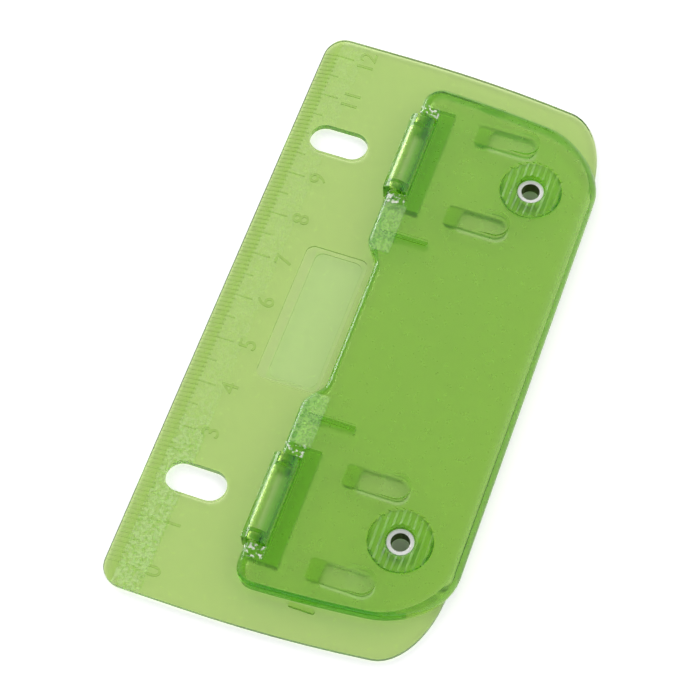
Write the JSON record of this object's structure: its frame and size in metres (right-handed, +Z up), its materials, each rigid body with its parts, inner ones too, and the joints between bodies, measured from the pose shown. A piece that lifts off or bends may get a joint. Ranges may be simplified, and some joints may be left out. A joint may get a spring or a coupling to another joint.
{
  "type": "pocket two-hole paper punch",
  "caption": "Flat pocket paper punch: a thin plate with a ruler edge and filing slots, and a press lever that turns up about two hinge barrels and carries hollow punches.",
  "frame": {"origin": "centre of the underside of the overall bounding box", "axes": "+Z up, +Y along the ruler towards its 12 cm end, +X from the ruler's edge towards the press lever's front edge"},
  "size_m": [0.0644, 0.129, 0.0064],
  "materials": {
    "pale_green_plastic": "clear-tinted, pale green, seen through",
    "green_plastic": "clear-tinted, green, seen through",
    "punch_steel": "bright turned steel"
  },
  "bodies": {
    "base": {"base_plate": "pale_green_plastic"},
    "lever": {"press_lever": "green_plastic", "punch_tube_zero_end": "punch_steel", "punch_tube_twelve_end": "punch_steel"}
  },
  "joints": [
    {"name": "lever_hinge", "type": "hinge", "parent": "base", "child": "lever", "pos_m": [-0.0064, 0, 0.0038], "axis": [0, -1, 0], "range_deg": [0, 90]}
  ]
}
